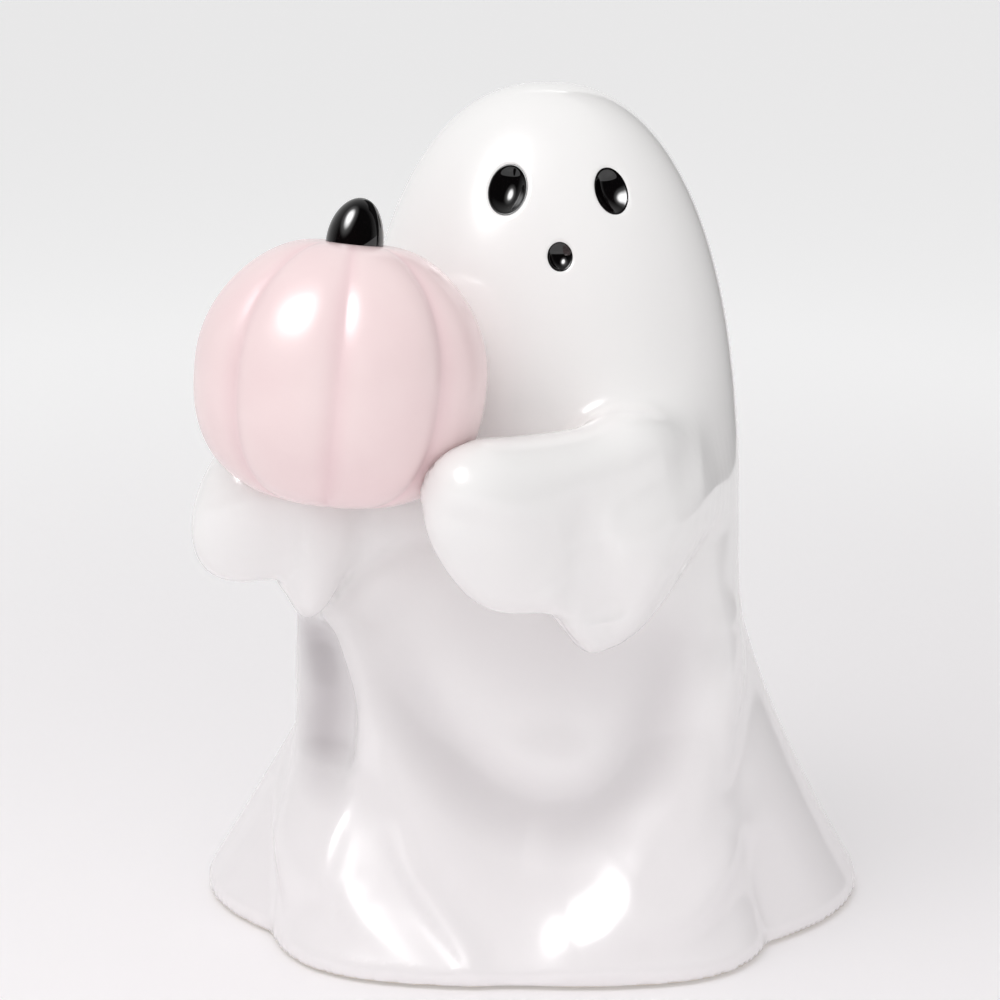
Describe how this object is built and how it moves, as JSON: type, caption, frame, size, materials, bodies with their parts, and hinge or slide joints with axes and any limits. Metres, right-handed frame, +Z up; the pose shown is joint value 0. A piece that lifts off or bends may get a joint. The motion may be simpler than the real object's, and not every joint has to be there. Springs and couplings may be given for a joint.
{
  "type": "ghost ornament",
  "caption": "Glossy glazed ceramic tabletop ghost in a draped sheet, hugging a lobed pumpkin in its sleeves, on felt pads.",
  "frame": {"origin": "middle of the bounding box's underside, on the plane that the felt pads stand on", "axes": "+Z up, -Y out of the ghost's face, +X towards the ghost's own left hand"},
  "size_m": [0.1948, 0.1906, 0.24],
  "materials": {
    "white_glaze": "clear gloss glaze over a white body",
    "pink_glaze": "pale pink gloss glaze, deeper where it pools in the grooves",
    "black_glaze": "black gloss glaze",
    "felt": "pressed felt"
  },
  "bodies": {
    "root": {"ghost_body": "white_glaze", "left_sleeve": "white_glaze", "right_sleeve": "white_glaze", "pumpkin_shell": "pink_glaze", "pumpkin_stem": "black_glaze", "right_eye_glaze": "black_glaze", "left_eye_glaze": "black_glaze", "mouth_glaze": "black_glaze", "felt_pad_1": "felt", "felt_pad_2": "felt", "felt_pad_3": "felt", "felt_pad_4": "felt"}
  },
  "joints": []
}
